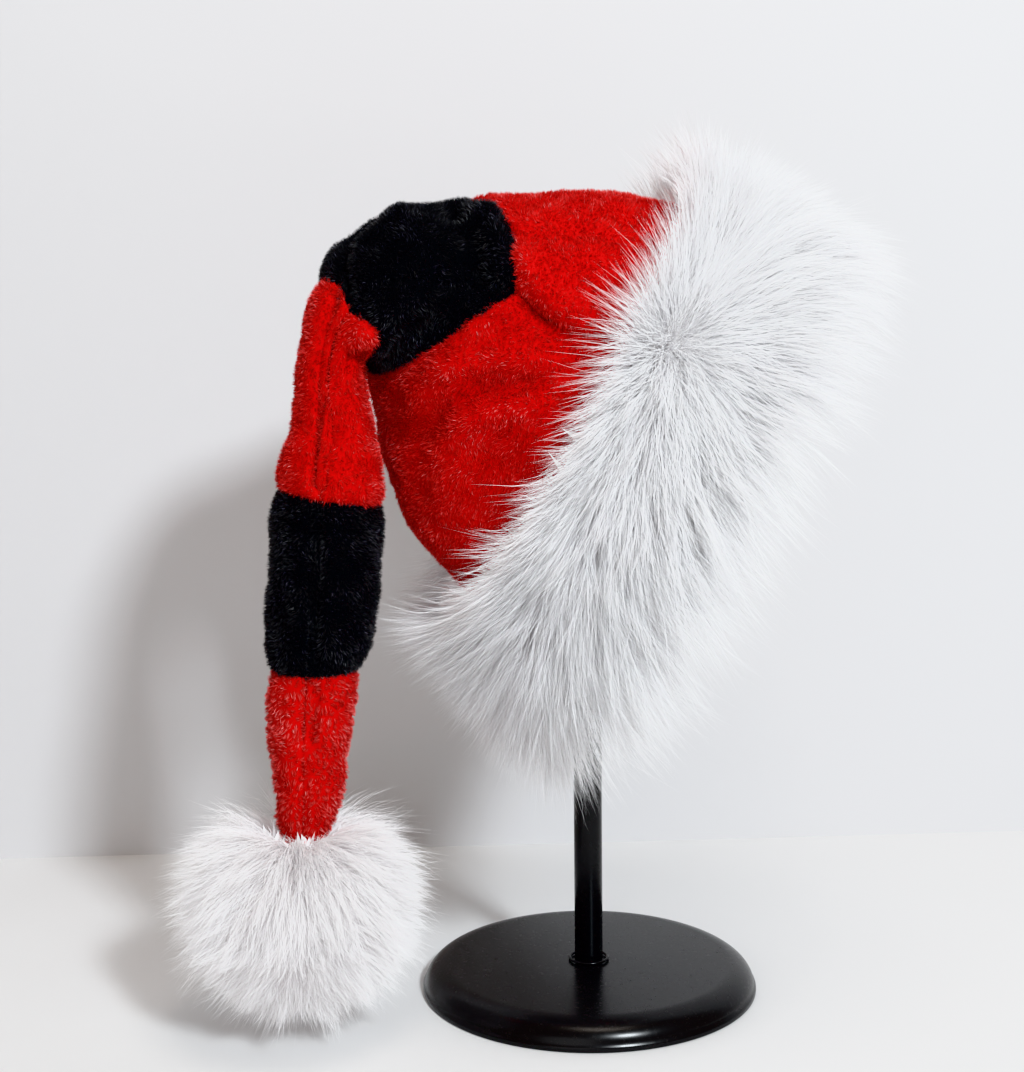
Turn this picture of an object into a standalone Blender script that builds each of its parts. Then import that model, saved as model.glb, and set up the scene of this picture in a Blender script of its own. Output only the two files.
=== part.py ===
"""Santa hat in red and black plush with a fur cuff and a pompom, on a display stand.

Metres, +Z up. The origin is the middle of the stand's underside, -Y is the side
that the hat's seam shows on, and the tail with its pompom hangs on the -X side.
"""
import math
import random

import bmesh
import bpy
from mathutils import Vector
from mathutils.bvhtree import BVHTree

# Between pieces that touch
GAP = 0.0003

# Display stand
BASE_RADIUS = 0.0825
BASE_TOP_RADIUS = 0.0685
BASE_HEIGHT = 0.0128
BASE_LIP = 0.0022
BASE_TOP_EDGE = 0.0010
RIM_SHARE = 0.90
POST_DIAMETER = 0.0138
COLLAR_RADIUS = 0.0100
COLLAR_WIRE = 0.0016
STAND_HEAD_RADIUS = 0.0300
STAND_HEAD_CURVE = 0.0420
STAND_HEAD_EDGE = 0.0040

# Hat: the opening's oval, the crown's rise, and the tail's hang
OPENING_LONG = 0.2200
OPENING_DEEP = 0.1560
HAT_REACH = 0.1300
HAT_LEAN = 0.0500
CROWN_RISE = 0.0860
TAIL_DROP = 0.2538
TAIL_WIDTH = 0.0470

# Cloth and cuff
CLOTH_WALL = 0.0022
SEAM_ROLL = 0.0016
SEAM_WIDTH = 0.0050
CUFF_CLEARANCE = 0.0010
CUFF_WALL = 0.0025
FUR_BACKING = 0.0012
FUR_LENGTH = 0.0500

# Rings of the cuff's locks, from the open edge to the sewn line. lean: along the
# hat towards the crown, for a lock that stands out by 1; length: share of FUR_LENGTH.
FUR_RINGS = (
    # lean   length
    (-1.05,  1.26),
    (-0.50,  1.14),
    (0.05,   1.00),
    (0.60,   0.84),
)
FUR_TOP_COMB = 0.65
FUR_TOP_SHORTER = 0.14
FUR_POST_COMB = 0.90
FUR_TOP_SHARPNESS = 1.5
FUR_POST_SHARPNESS = 6
FUR_SWIRL = 0.45
FUR_SWIRL_REACH = 0.10
FUR_PARTING = 0.185
FUR_DROOP = 0.25
FUR_SHORTEST = 0.90
FUR_LONGEST = 1.06
FUR_MIDDLE_SIZE = 1.00
FUR_TIP_SIZE = 0.40
FUR_SEED = 5

# Pompom
POMPOM_CLEARANCE = 0.0030
POMPOM_HALF_WIDE = 0.0590
POMPOM_HALF_TALL = 0.0545
POMPOM_HEAD_RADIUS = 0.0320
POMPOM_FACET = 0.985
POMPOM_BARE_ANGLE = 32
POMPOM_DROOP = 0.12
POMPOM_SHORTEST = 0.88
POMPOM_MIDDLE_SIZE = 1.15
POMPOM_TIP_SIZE = 0.45
POMPOM_SEED = 8

# Folds
FOLD_DEPTH = 0.0070

# Sections of the crown, from the cuff's open edge to the top of the bend.
# x, y: shares of HAT_REACH and HAT_LEAN; z: share of CROWN_RISE below the bend;
# long, deep: shares of the opening's half sizes; turn: degrees of the long way;
# seam: how far round the front seam lies (0 top, 0.25 front, 0.5 under).
CROWN_SECTIONS = (
    # name          x       y      z      long   turn   deep  seam
    ("open edge",   0.330,  0.06, -1.00,  1.000,  60.5, 1.00, 0.185),
    ("cuff",        0.138,  0.00, -0.80,  0.970,  60.3, 0.99, 0.185),
    ("sewn line",  -0.050, -0.08, -0.61,  0.935,  60.4, 0.96, 0.190),
    ("shoulder",   -0.180, -0.16, -0.46,  0.865,  59.2, 0.92, 0.195),
    ("crown",      -0.343, -0.25, -0.32,  0.755,  59.3, 0.85, 0.200),
    ("crown top",  -0.448, -0.36, -0.17,  0.605,  59.5, 0.76, 0.190),
    ("black seam", -0.527, -0.48, -0.03,  0.465,  59.0, 0.67, 0.195),
    ("dip",        -0.615, -0.60, -0.01,  0.385,  66.0, 0.59, 0.205),
    ("hump",       -0.700, -0.72,  0.00,  0.335,  79.0, 0.52, 0.215),
)
# Sections of the tail. z: share of TAIL_DROP above its end; long and deep:
# shares of half TAIL_WIDTH.
TAIL_SECTIONS = (
    # name          x       y      z      long   turn   deep  seam
    ("shoulder",   -0.792, -0.82,  0.985, 1.27,   95.0, 1.45, 0.225),
    ("red seam",   -0.847, -0.90,  0.953, 0.90,  111.0, 1.25, 0.235),
    ("corner",     -0.879, -0.95,  0.912, 0.73,  132.0, 1.10, 0.240),
    ("under bend", -0.888, -0.99,  0.846, 0.69,  154.0, 0.98, 0.240),
    ("red",        -0.886, -1.00,  0.768, 0.74,  166.0, 0.90, 0.240),
    ("red low",    -0.899, -1.00,  0.702, 0.90,  173.0, 0.92, 0.240),
    ("black seam", -0.908, -1.00,  0.637, 1.01,  170.0, 0.97, 0.235),
    ("black",      -0.929, -1.00,  0.525, 1.02,  177.0, 0.97, 0.230),
    ("black low",  -0.943, -1.00,  0.440, 1.00,  179.0, 0.94, 0.230),
    ("waist",      -0.960, -1.00,  0.370, 0.95,  179.0, 0.89, 0.230),
    ("red seam",   -0.975, -1.00,  0.325, 0.83,  179.0, 0.83, 0.235),
    ("red curl",   -0.994, -1.00,  0.243, 0.80,  179.0, 0.77, 0.240),
    ("narrowing",  -1.004, -1.00,  0.164, 0.70,  179.0, 0.69, 0.240),
    ("gather",     -1.008, -1.00,  0.088, 0.60,  179.0, 0.62, 0.240),
    ("tip",        -1.026, -1.00,  0.020, 0.40,  179.0, 0.42, 0.240),
    ("end",        -1.046, -1.00,  0.000, 0.32,  179.0, 0.34, 0.240),
)
# Cloth panels, two to a colour block, which meet at the side seams. over top: 1 for the
# upper panel, 0 for the one under it; start, end: rows of the sections' list;
# start v, end v: how far the border runs back at the side seams, in rows.
PANELS = (
    # name                      material       over top  start  start v  end    end v  rows
    ("crown_outer_panel",       "red plush",   1,         1.75,  0.00,    6.20,  1.00,   8),
    ("crown_inner_panel",       "red plush",   0,         1.75,  0.00,    7.00,  1.80,   8),
    ("bend_outer_panel",        "black plush", 1,         6.20,  1.00,   10.10, -0.20,   7),
    ("bend_inner_panel",        "black plush", 0,         7.00,  1.80,    9.80, -0.50,   7),
    ("tail_upper_outer_panel",  "red plush",   1,        10.10, -0.20,   15.00,  0.00,   8),
    ("tail_upper_inner_panel",  "red plush",   0,         9.80, -0.50,   15.00,  0.00,   8),
    ("tail_band_outer_panel",   "black plush", 1,        15.00,  0.00,   19.00,  0.00,   6),
    ("tail_band_inner_panel",   "black plush", 0,        15.00,  0.00,   19.00,  0.00,   6),
    ("tail_lower_outer_panel",  "red plush",   1,        19.00,  0.00,   24.00,  0.00,   7),
    ("tail_lower_inner_panel",  "red plush",   0,        19.00,  0.00,   24.00,  0.00,   7),
)
BORDER_SHARPNESS = 1.5
# Folds, each from one section row and way round (0 top, 0.25 front, 0.5 under,
# 0.75 back) to another; width: share of the section's half depth; lift: share of
# FOLD_DEPTH, negative for a hollow.
FOLDS = (
    # name                  row   way    row   way    width  lift
    ("over the seam",       2.6,  0.160, 4.8,  0.155, 0.16,  0.70),
    ("under the seam",      2.6,  0.225, 4.6,  0.225, 0.20, -0.80),
    ("hollow of the crown", 3.0,  0.340, 5.2,  0.270, 0.28, -0.80),
    ("crown's underside",   2.6,  0.430, 4.4,  0.470, 0.22,  0.60),
    ("crown's back dent",   3.0,  0.800, 5.0,  0.700, 0.30, -0.90),
    ("bend crease",         7.0,  0.150, 7.2,  0.900, 0.20, -0.70),
    ("bend knuckle",        9.0,  0.290, 9.4,  0.360, 0.35,  1.10),
    ("bend front hollow",   7.6,  0.300, 8.3,  0.380, 0.25, -0.80),
    ("tail pinch",         10.6,  0.250, 12.6, 0.300, 0.30, -0.55),
    ("tail back pinch",    11.8,  0.720, 13.2, 0.760, 0.28, -0.40),
)

# A girth's length along the hat counts as this many section rows in a fold's course
FOLD_ROWS = 22

# The cuff runs from row 0 to CUFF_END; the crown's cloth draws in under it over
# CUFF_FADE rows, which end CUFF_TUCK rows past it
CUFF_END = 2.0
CUFF_TUCK = 0.3
CUFF_FADE = 0.2

# Facets
AROUND = 16
CUFF_AROUND = 32
CUFF_ROWS = len(FUR_RINGS)
RIM_STEPS = 4
HEAD_STEPS = 4
BASE_SIDES = 48
POST_SIDES = 24
COLLAR_WIRE_SIDES = 6
SMOOTH_ANGLE = 40

# Rays that find the cloth above the stand's head
PROBE_RINGS = 6
PROBE_RAYS = 24

LOOKS = {
    # name           colour                 roughness  metallic
    "red plush":    ((0.520, 0.006, 0.012), 0.85, 0.0),
    "black plush":  ((0.012, 0.011, 0.013), 0.85, 0.0),
    "white fur":    ((0.860, 0.830, 0.840), 0.75, 0.0),
    "white felt":   ((0.780, 0.760, 0.740), 0.90, 0.0),
    "black paint":  ((0.010, 0.009, 0.009), 0.18, 0.0),
}


def clear_scene():
    for thing in list(bpy.data.objects):
        bpy.data.objects.remove(thing)


def make_material(name):
    colour, roughness, metallic = LOOKS[name]
    material = bpy.data.materials.new(name)
    material.use_nodes = True
    shader = material.node_tree.nodes["Principled BSDF"]
    shader.inputs["Base Color"].default_value = (*colour, 1.0)
    shader.inputs["Roughness"].default_value = roughness
    shader.inputs["Metallic"].default_value = metallic
    return material


def keep(part, name, material):
    """Name a finished piece, dress it and put it in the object's collection."""
    part.name = name
    part.data.name = name
    part.data.materials.clear()
    part.data.materials.append(material)
    for collection in list(part.users_collection):
        collection.objects.unlink(part)
    bpy.data.collections["santa_hat"].objects.link(part)
    return part


def new_object(name, mesh):
    part = bpy.data.objects.new(name, mesh)
    bpy.context.scene.collection.objects.link(part)
    return part


def turned(name, profile, steps, material):
    """Turn a profile of (radius, height) points round Z."""
    mesh = bpy.data.meshes.new(name)
    points = [(radius, 0.0, height) for radius, height in profile]
    edges = [(i, i + 1) for i in range(len(points) - 1)]
    mesh.from_pydata(points, edges, [])
    part = new_object(name, mesh)
    screw = part.modifiers.new("Screw", "SCREW")
    screw.steps = screw.render_steps = steps
    screw.use_merge_vertices = True
    screw.merge_threshold = 0.0001
    screw.use_smooth_shade = True
    return keep(part, name, material)


def as_mesh(part):
    """Replace a piece by its evaluated mesh and return the new one."""
    bpy.context.view_layer.update()
    evaluated = part.evaluated_get(bpy.context.evaluated_depsgraph_get())
    mesh = bpy.data.meshes.new_from_object(evaluated)
    plain = new_object(part.name, mesh)
    plain.matrix_world = part.matrix_world
    bpy.data.objects.remove(part)
    return plain


# Heights that follow from the way the tail hangs, and the cuff's lift off the crown
CUFF_LIFT = GAP
POMPOM_Z = POMPOM_CLEARANCE + POMPOM_HALF_TALL
TAIL_END_RADIUS = TAIL_SECTIONS[-1][4] * TAIL_WIDTH / 2
TAIL_END_Z = POMPOM_Z + GAP + math.sqrt(
    (POMPOM_HEAD_RADIUS * POMPOM_FACET) ** 2 - TAIL_END_RADIUS ** 2)
SPINE_TOP_Z = TAIL_END_Z + TAIL_DROP


def section_rows():
    """Every section as (centre, half long, turn, half deep, seam), in metres."""
    rows = []
    for _, x, y, z, long, turn, deep, seam in CROWN_SECTIONS:
        centre = Vector((x * HAT_REACH, y * HAT_LEAN, SPINE_TOP_Z + z * CROWN_RISE))
        rows.append((centre, long * OPENING_LONG / 2, turn, deep * OPENING_DEEP / 2, seam))
    for _, x, y, z, long, turn, deep, seam in TAIL_SECTIONS:
        centre = Vector((x * HAT_REACH, y * HAT_LEAN, TAIL_END_Z + z * TAIL_DROP))
        rows.append((centre, long * TAIL_WIDTH / 2, turn, deep * TAIL_WIDTH / 2, seam))
    return rows


ROWS = section_rows()
# Rows before and after a place that give the spine's direction there
SPINE_STEP = 0.25


def smooth(values, place):
    """Read a list of numbers or vectors at a place between its entries."""
    last = len(values) - 1
    place = min(max(place, 0.0), last)
    low = min(int(place), last - 1)
    f = place - low
    before, start = values[max(low - 1, 0)], values[low]
    end, after = values[low + 1], values[min(low + 2, last)]
    return (start * (2 - 5 * f * f + 3 * f ** 3) + end * (f + 4 * f * f - 3 * f ** 3)
            + before * (-f + 2 * f * f - f ** 3) + after * (f ** 3 - f * f)) / 2


def section(place):
    """Centre, way along, long way, deep way and the two half sizes of a section."""
    centres = [row[0] for row in ROWS]
    centre = smooth(centres, place)
    along = smooth(centres, place + SPINE_STEP) - smooth(centres, place - SPINE_STEP)
    half = smooth([row[1] for row in ROWS], place)
    turn = math.radians(smooth([row[2] for row in ROWS], place))
    deep = smooth([row[3] for row in ROWS], place)
    up = Vector((math.cos(turn), 0.0, math.sin(turn)))
    back = along.cross(up).normalized()
    return centre, along.normalized(), up, back, half, deep


def fold_lift(place, way, girth, deep):
    """How far the folds push the cloth out at a place."""
    lift = 0.0
    pitch = girth / FOLD_ROWS
    for _, row_a, way_a, row_b, way_b, width, height in FOLDS:
        ax, ay = (place - row_a) * pitch, (way - way_a) * girth
        bx, by = (row_b - row_a) * pitch, (way_b - way_a) * girth
        share = min(max((ax * bx + ay * by) / (bx * bx + by * by), 0.0), 1.0)
        away = math.hypot(ax - share * bx, ay - share * by) / (width * deep)
        lift += height * math.exp(-away * away)
    return lift * FOLD_DEPTH


def oval(place, way):
    """A point of the hat's plain section, without folds, and its outward direction."""
    centre, _, up, back, half, deep = section(place)
    angle = 2 * math.pi * way
    across, inward = math.cos(angle), -math.sin(angle)
    point = centre + up * (half * across) + back * (deep * inward)
    return point, (up * (across / half) + back * (inward / deep)).normalized()


def skin(place, way, lift=0.0):
    """A point of the cloth's outer skin; the cloth draws in where the cuff covers it."""
    half, deep = section(place)[4:]
    point, out = oval(place, way)
    covered = min(max((CUFF_END + CUFF_TUCK - place) / CUFF_FADE, 0.0), 1.0)
    folds = fold_lift(place, way, math.pi * (half + deep), deep)
    return point + out * (folds * (1 - covered) - CUFF_CLEARANCE * covered + lift)


def edge_spaced(count, edge):
    """Shares from 0 to 1 with a narrow strip of the given share at both ends."""
    inner = count - 2
    shares = [edge + (1 - 2 * edge) * i / inner for i in range(inner + 1)]
    return [0.0] + shares + [1.0]


def border(row, notch, across):
    """A block's border, which runs back towards the opening at the side seams."""
    return row - notch * (1 - math.sin(math.pi * across)) ** BORDER_SHARPNESS


def panel(cut, material):
    """One cloth panel: half of a colour block, from side seam to side seam."""
    name, _, over_top, start, start_v, end, end_v, rows = cut
    middle = section((start + end) / 2)
    half_girth = math.pi * (middle[4] + middle[5]) / 2
    length = (section(end - end_v)[0] - section(start - start_v)[0]).length
    girth_gap = GAP / half_girth
    length_gap = GAP / length
    ways = edge_spaced(AROUND, SEAM_WIDTH / half_girth)
    steps = edge_spaced(rows, SEAM_WIDTH / length)
    seams = [row[4] for row in ROWS]
    bm = bmesh.new()
    grid = []
    for step in steps:
        line = []
        for across in ways:
            low = border(start, start_v, across)
            high = border(end, end_v, across)
            along = length_gap + step * (1 - 2 * length_gap)
            place = low + (high - low) * along
            way = smooth(seams, place) + (girth_gap + across * (1 - 2 * girth_gap)) / 2
            if over_top:
                way += 0.5
            at_edge = (step in (0.0, 1.0)) or (across in (0.0, 1.0))
            roll = -SEAM_ROLL if at_edge else 0.0
            line.append(bm.verts.new(skin(place, way % 1.0, roll)))
        grid.append(line)
    for low, high in zip(grid, grid[1:]):
        for i in range(len(ways) - 1):
            bm.faces.new((low[i], high[i], high[i + 1], low[i + 1]))
    mesh = bpy.data.meshes.new(name)
    bm.to_mesh(mesh)
    bm.free()
    mesh.shade_smooth()
    part = new_object(name, mesh)
    wall = part.modifiers.new("Wall", "SOLIDIFY")
    wall.thickness = CLOTH_WALL
    wall.offset = -1.0
    return keep(part, name, material)


def cuff_shell(name, lift, wall):
    """A tube round the opening, its inner skin lifted off the crown's skin."""
    bm = bmesh.new()
    grid = []
    for row in range(CUFF_ROWS + 1):
        place = CUFF_END * row / CUFF_ROWS
        ring = []
        for i in range(CUFF_AROUND):
            point, out = oval(place, i / CUFF_AROUND)
            ring.append(bm.verts.new(point + out * (lift + wall)))
        grid.append(ring)
    for low, high in zip(grid, grid[1:]):
        for i in range(CUFF_AROUND):
            j = (i + 1) % CUFF_AROUND
            bm.faces.new((low[i], high[i], high[j], low[j]))
    mesh = bpy.data.meshes.new(name)
    bm.to_mesh(mesh)
    bm.free()
    mesh.shade_smooth()
    part = new_object(name, mesh)
    shell = part.modifiers.new("Wall", "SOLIDIFY")
    shell.thickness = wall
    shell.offset = -1.0
    shell.use_even_offset = True
    return part


def grow_locks(bm, places, stages):
    """Draw faces out into locks; a stage gives a lock's new centre and size."""
    number = bm.faces.layers.int.new("lock")
    bm.faces.ensure_lookup_table()
    faces = [bm.faces[place] for place in places]
    roots = []
    for i, face in enumerate(faces):
        face[number] = i
        roots.append((face.calc_center_median(), face.normal.copy()))
    for stage in stages:
        faces = bmesh.ops.extrude_discrete_faces(bm, faces=faces)["faces"]
        for face in faces:
            target, size = stage(face[number], *roots[face[number]])
            middle = face.calc_center_median()
            for vert in face.verts:
                vert.co = target + (vert.co - middle) * size


def cuff_fur(material):
    """The cuff's pile: locks on a thin backing round the cuff band."""
    backing = as_mesh(cuff_shell("cuff_fur", CUFF_LIFT + CUFF_WALL + GAP, FUR_BACKING))
    bm = bmesh.new()
    bm.from_mesh(backing.data)
    outer = range(CUFF_AROUND * CUFF_ROWS)
    seeded = random.Random(FUR_SEED)
    lengths = [seeded.uniform(FUR_SHORTEST, FUR_LONGEST) for _ in outer]

    def height(i):
        return max(math.cos(2 * math.pi * (i % CUFF_AROUND + 0.5) / CUFF_AROUND), 0.0)

    def length(i):
        share = FUR_RINGS[i // CUFF_AROUND][1] * (1 - FUR_TOP_SHORTER * height(i))
        return FUR_LENGTH * share * lengths[i]

    def lean(i, out):
        ring = i // CUFF_AROUND
        way = (i % CUFF_AROUND + 0.5) / CUFF_AROUND
        _, along, up, back, half, deep = section(CUFF_END * (ring + 0.5) / CUFF_ROWS)
        turn = 2 * math.pi * way
        by_post = max(-math.cos(turn), 0.0) ** FUR_POST_SHARPNESS * (1 - ring / CUFF_ROWS)
        axis = along * (FUR_RINGS[ring][0] - FUR_TOP_COMB * height(i) ** FUR_TOP_SHARPNESS
                        + FUR_POST_COMB * by_post)
        around = (-up * math.sin(turn) * half - back * math.cos(turn) * deep).normalized()
        from_parting = (way - FUR_PARTING + 0.5) % 1.0 - 0.5
        swirl = math.copysign(math.exp(-abs(from_parting) / FUR_SWIRL_REACH), from_parting)
        down = Vector((0, 0, -1))
        down -= out * down.dot(out)
        return axis + around * (FUR_SWIRL * swirl) + down * FUR_DROOP

    def middle(i, centre, out):
        way = (out + lean(i, out) * 0.5).normalized()
        return centre + way * (length(i) * 0.5), FUR_MIDDLE_SIZE

    def tip(i, centre, out):
        way = (out + lean(i, out)).normalized()
        return centre + way * length(i), FUR_TIP_SIZE

    grow_locks(bm, outer, (middle, tip))
    bm.to_mesh(backing.data)
    bm.free()
    return keep(backing, "cuff_fur", material)


def pompom(material):
    """The pompom: locks drawn out of a small head that the tail is sewn to."""
    centre = Vector((TAIL_SECTIONS[-1][1] * HAT_REACH, -HAT_LEAN, POMPOM_Z))
    mesh = bpy.data.meshes.new("pompom")
    bm = bmesh.new()
    bmesh.ops.create_icosphere(bm, subdivisions=2, radius=POMPOM_HEAD_RADIUS)
    bm.faces.index_update()
    locks = [face.index for face in bm.faces
             if face.normal.z < math.cos(math.radians(POMPOM_BARE_ANGLE))]
    seeded = random.Random(POMPOM_SEED)
    lengths = [seeded.uniform(POMPOM_SHORTEST, 1.0) for _ in locks]

    def reach(way):
        flat = math.hypot(way.x, way.y) / POMPOM_HALF_WIDE
        return 1 / math.hypot(flat, way.z / POMPOM_HALF_TALL)

    def middle(i, root, out):
        return root.lerp(out * reach(out) * lengths[i], 0.5), POMPOM_MIDDLE_SIZE

    def tip(i, root, out):
        way = (out - Vector((0, 0, POMPOM_DROOP))).normalized()
        return way * reach(way) * lengths[i], POMPOM_TIP_SIZE

    grow_locks(bm, locks, (middle, tip))
    bmesh.ops.translate(bm, verts=bm.verts, vec=centre)
    bm.to_mesh(mesh)
    bm.free()
    mesh.shade_smooth()
    return keep(new_object("pompom", mesh), "pompom", material)


def cloth_height(panels, reach, curve):
    """Height at which a dome's top first meets the cloth above it."""
    graph = bpy.context.evaluated_depsgraph_get()
    trees = [BVHTree.FromObject(part, graph) for part in panels]
    inside = Vector((0, 0, SPINE_TOP_Z - CROWN_RISE))
    lowest = math.inf
    for ring in range(PROBE_RINGS + 1):
        radius = reach * ring / PROBE_RINGS
        sink = curve - math.sqrt(curve ** 2 - radius ** 2)
        for i in range(PROBE_RAYS):
            angle = 2 * math.pi * i / PROBE_RAYS
            start = inside + Vector((math.cos(angle), math.sin(angle), 0)) * radius
            for tree in trees:
                hit = tree.ray_cast(start, Vector((0, 0, 1)))[0]
                if hit:
                    lowest = min(lowest, hit.z + sink)
    return lowest


def stand(panels, material):
    """Round base, wire collar, tube post and the plain dome under the crown."""
    rim = BASE_RADIUS - BASE_TOP_RADIUS
    drop = BASE_HEIGHT - BASE_LIP
    profile = [(0, BASE_HEIGHT), (BASE_TOP_RADIUS - BASE_TOP_EDGE, BASE_HEIGHT)]
    for i in range(RIM_STEPS + 1):
        angle = math.radians(90 * i / RIM_STEPS)
        profile.append((BASE_TOP_RADIUS + rim * RIM_SHARE * math.sin(angle),
                        BASE_LIP + drop * math.cos(angle)))
    profile += [(BASE_RADIUS, BASE_LIP), (BASE_RADIUS, 0), (0, 0)]
    turned("stand_base", profile, BASE_SIDES, material)

    bpy.ops.mesh.primitive_torus_add(
        major_radius=COLLAR_RADIUS - COLLAR_WIRE / 2, minor_radius=COLLAR_WIRE / 2,
        major_segments=POST_SIDES, minor_segments=COLLAR_WIRE_SIDES,
        location=(0, 0, BASE_HEIGHT + GAP + COLLAR_WIRE / 2))
    keep(bpy.context.object, "stand_collar", material)

    top = cloth_height(panels, STAND_HEAD_RADIUS, STAND_HEAD_CURVE) - GAP
    sink = STAND_HEAD_CURVE - math.sqrt(STAND_HEAD_CURVE ** 2 - STAND_HEAD_RADIUS ** 2)
    under = top - sink - STAND_HEAD_EDGE
    profile = []
    widest = math.asin(STAND_HEAD_RADIUS / STAND_HEAD_CURVE)
    for i in range(HEAD_STEPS + 1):
        angle = widest * i / HEAD_STEPS
        profile.append((STAND_HEAD_CURVE * math.sin(angle),
                        top - STAND_HEAD_CURVE * (1 - math.cos(angle))))
    profile += [(STAND_HEAD_RADIUS, under), (0, under)]
    turned("stand_head", profile, POST_SIDES, material)

    length = under - BASE_HEIGHT - 2 * GAP
    bpy.ops.mesh.primitive_cylinder_add(
        vertices=POST_SIDES, radius=POST_DIAMETER / 2, depth=length,
        location=(0, 0, BASE_HEIGHT + GAP + length / 2))
    post = keep(bpy.context.object, "stand_post", material)
    post.data.shade_smooth()
    post.data.set_sharp_from_angle(angle=math.radians(SMOOTH_ANGLE))


def main():
    clear_scene()
    group = bpy.data.collections.new("santa_hat")
    bpy.context.scene.collection.children.link(group)
    looks = {name: make_material(name) for name in LOOKS}
    panels = [panel(cut, looks[cut[1]]) for cut in PANELS]
    keep(cuff_shell("cuff_band", CUFF_LIFT, CUFF_WALL), "cuff_band", looks["white felt"])
    cuff_fur(looks["white fur"])
    pompom(looks["white fur"])
    bpy.context.view_layer.update()
    stand(panels, looks["black paint"])


main()
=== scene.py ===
"""Looks of the red and black plush santa hat on its display stand.

Metres, +Z up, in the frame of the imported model. The plush panels are smoothed from
their solids and carry a short pile, and the cuff's and the pompom's fur is drawn hair
by hair round the solids that they replace.
"""
import math

import bmesh
import bpy
import numpy as np
from mathutils import Euler, Matrix, Vector
from mathutils.kdtree import KDTree


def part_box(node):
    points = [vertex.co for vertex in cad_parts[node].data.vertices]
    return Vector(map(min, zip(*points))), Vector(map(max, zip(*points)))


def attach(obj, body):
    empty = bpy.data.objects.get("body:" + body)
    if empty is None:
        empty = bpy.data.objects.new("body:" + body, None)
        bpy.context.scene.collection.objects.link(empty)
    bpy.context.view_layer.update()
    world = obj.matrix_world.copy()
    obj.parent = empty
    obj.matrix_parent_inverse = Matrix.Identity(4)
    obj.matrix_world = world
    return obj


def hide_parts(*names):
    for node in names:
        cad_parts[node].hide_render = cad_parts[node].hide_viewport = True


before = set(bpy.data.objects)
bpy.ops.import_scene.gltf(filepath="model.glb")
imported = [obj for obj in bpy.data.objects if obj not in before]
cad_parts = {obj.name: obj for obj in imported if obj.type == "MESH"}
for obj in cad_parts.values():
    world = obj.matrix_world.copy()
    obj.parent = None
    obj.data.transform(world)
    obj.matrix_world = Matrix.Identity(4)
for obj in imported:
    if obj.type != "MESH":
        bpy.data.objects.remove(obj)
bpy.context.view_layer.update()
MM = 0.001

# Camera, as the photograph was taken
PHOTO_WIDE = 1024
PHOTO_TALL = 1072
FOCAL_PIXELS = 1700
SENSOR = 36.0
CAMERA_PLACE = (-0.0358, -0.815, 0.324)
CAMERA_DOWN = 6.9
CAMERA_ROLL = -0.66

# The sewn oval that carries the cuff: its centre at the open edge and at the sewn line,
# its half sizes, and the tilt of its long way
OPEN_CENTRE = Vector((0.0429, 0.0030, 0.2562))
SEWN_CENTRE = Vector((-0.0065, -0.0040, 0.2897))
OVAL_LONG = 0.108
OVAL_DEEP = 0.077
OVAL_TURN = 60.4

# Folds of the cloth as the photograph shows them: a line in its pixels, the depth in
# millimetres, less than zero for a ridge, and the half width in pixels
FOLDS = {
    "tail_upper": [
        (((334, 296), (324, 335), (318, 372), (321, 440), (318, 482)), 4.6, 7),
        (((333, 415), (336, 470)), 1.4, 6),
        (((350, 358), (374, 353)), 4.0, 6),
        (((362, 333), (378, 334)), -4.0, 10),
    ],
    "tail_band": [(((317, 480), (316, 560), (315, 664)), 3.2, 7)],
    "tail_lower": [(((315, 660), (315, 700), (313, 745)), 3.0, 7)],
    "bend": [
        (((446, 200), (458, 218), (473, 240), (480, 280)), 5.0, 9),
        (((374, 214), (350, 238), (342, 262), (350, 302)), 4.0, 7),
        (((486, 206), (500, 235), (506, 262)), -2.2, 12),
        (((400, 214), (424, 238), (436, 262)), -2.4, 10),
        (((334, 250), (333, 272)), -2.0, 9),
    ],
    "crown_outer": [
        (((522, 258), (540, 288), (566, 314), (598, 336)), -3.8, 11),
        (((512, 290), (552, 326), (590, 352)), 2.0, 5),
    ],
    "crown_inner": [
        (((513, 298), (552, 332), (588, 358)), 1.8, 7),
        (((520, 380), (478, 390), (440, 410), (415, 440)), 5.0, 14),
        (((440, 370), (500, 360), (556, 364)), -2.6, 12),
        (((462, 424), (506, 411), (548, 404)), -2.6, 13),
        (((374, 384), (377, 425), (384, 450)), -3.6, 13),
    ],
}

# Smoothing of the cloth, how far its cut edges are pushed together, and how far from a
# seam its swells are full
CLOTH_LEVELS = 2
RIM_REACH = 0.4 * MM
SWELL_IN = 0.008

# Cuff hair. A whorl is a share of the way from the open edge to the sewn line and a share
# of the way round
CUFF_HAIRS = 86000
CUFF_PIECES = 4
WHORLS = ((0.80, 0.185), (0.72, 0.700))
WHORL_WIDE = 0.075
WHORL_EXTRA = 0.07
FAN_START = 0.009
FAN_BLUR = 0.005
FAN_PULL = 0.95
HAIR_LENGTH = 0.0500
HAIR_KINDS = (
    # length   share of the hairs
    (0.62,     0.18),
    (0.80,     0.24),
    (0.95,     0.30),
    (1.00,     0.22),
    (1.08,     0.06),
)
HAIR_WIDTH = 0.00029
HAIR_POINTS = 4
HAIR_TIP = 0.30
HAIR_WANDER = 0.17
HAIRS_A_TUFT = 13
UNDERCOAT = 22000
UNDERCOAT_WIDTH = 3.2 * MM

# The lean of the cuff's hair along the cuff: at its open edge, its gain up to the sewn
# line, and what the crown's top and the side by the post change
LEAN_OPEN = -1.28
LEAN_GAIN = 2.15
LEAN_TOP = -0.60
LEAN_TOP_SEWN = 0.15
LEAN_POST = 0.90
CUFF_DROOP = 0.28

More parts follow.
